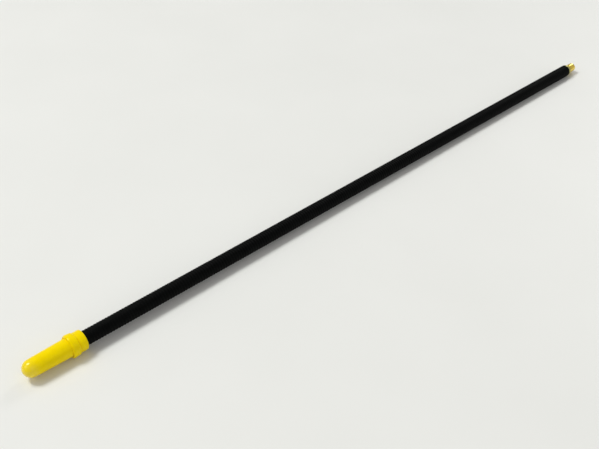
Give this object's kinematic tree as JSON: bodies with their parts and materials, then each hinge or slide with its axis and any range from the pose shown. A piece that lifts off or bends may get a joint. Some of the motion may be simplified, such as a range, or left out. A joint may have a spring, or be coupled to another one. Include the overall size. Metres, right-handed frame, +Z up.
{
  "type": "rhythmic ribbon wand",
  "caption": "Slim straight wand with a fine spiral-ribbed black sleeve, a pull-off rounded yellow cap and collar at one end, and a brass swivel stud at the other.",
  "frame": {"origin": "on the stick's axis, halfway between the cap's tip and the stud's end", "axes": "+X along the stick from the cap to the brass stud, +Z up when it lies on a table"},
  "size_m": [0.5788, 0.0162, 0.0162],
  "materials": {
    "glass_fibre": "smooth pultruded glass fibre",
    "winding_cord": "tight twisted cord",
    "black_sleeve": "satin black, fine raised spiral",
    "yellow_plastic": "semi-gloss moulded",
    "nylon": "natural nylon",
    "black_rubber": "matt rubber",
    "brass": "turned, lightly polished"
  },
  "bodies": {
    "stick": {"core_rod": "glass_fibre", "spiral_winding": "winding_cord", "sleeve": "black_sleeve", "collar": "yellow_plastic", "butt_plug": "nylon", "cap_seal_ring": "black_rubber", "tip_ferrule": "brass", "swivel_bush": "brass"},
    "swivel": {"swivel_pin": "brass", "thrust_washer_inner": "nylon", "thrust_washer_outer": "nylon", "tip_stud": "brass"},
    "cap": {"cap": "yellow_plastic"}
  },
  "joints": [
    {"name": "swivel_spin", "type": "hinge", "parent": "stick", "child": "swivel", "pos_m": [0.28, 0, 0], "axis": [1, 0, 0], "continuous": true},
    {"name": "cap_pull", "type": "slide", "parent": "stick", "child": "cap", "axis": [-1, 0, 0], "range_m": [0, 0.045]}
  ]
}
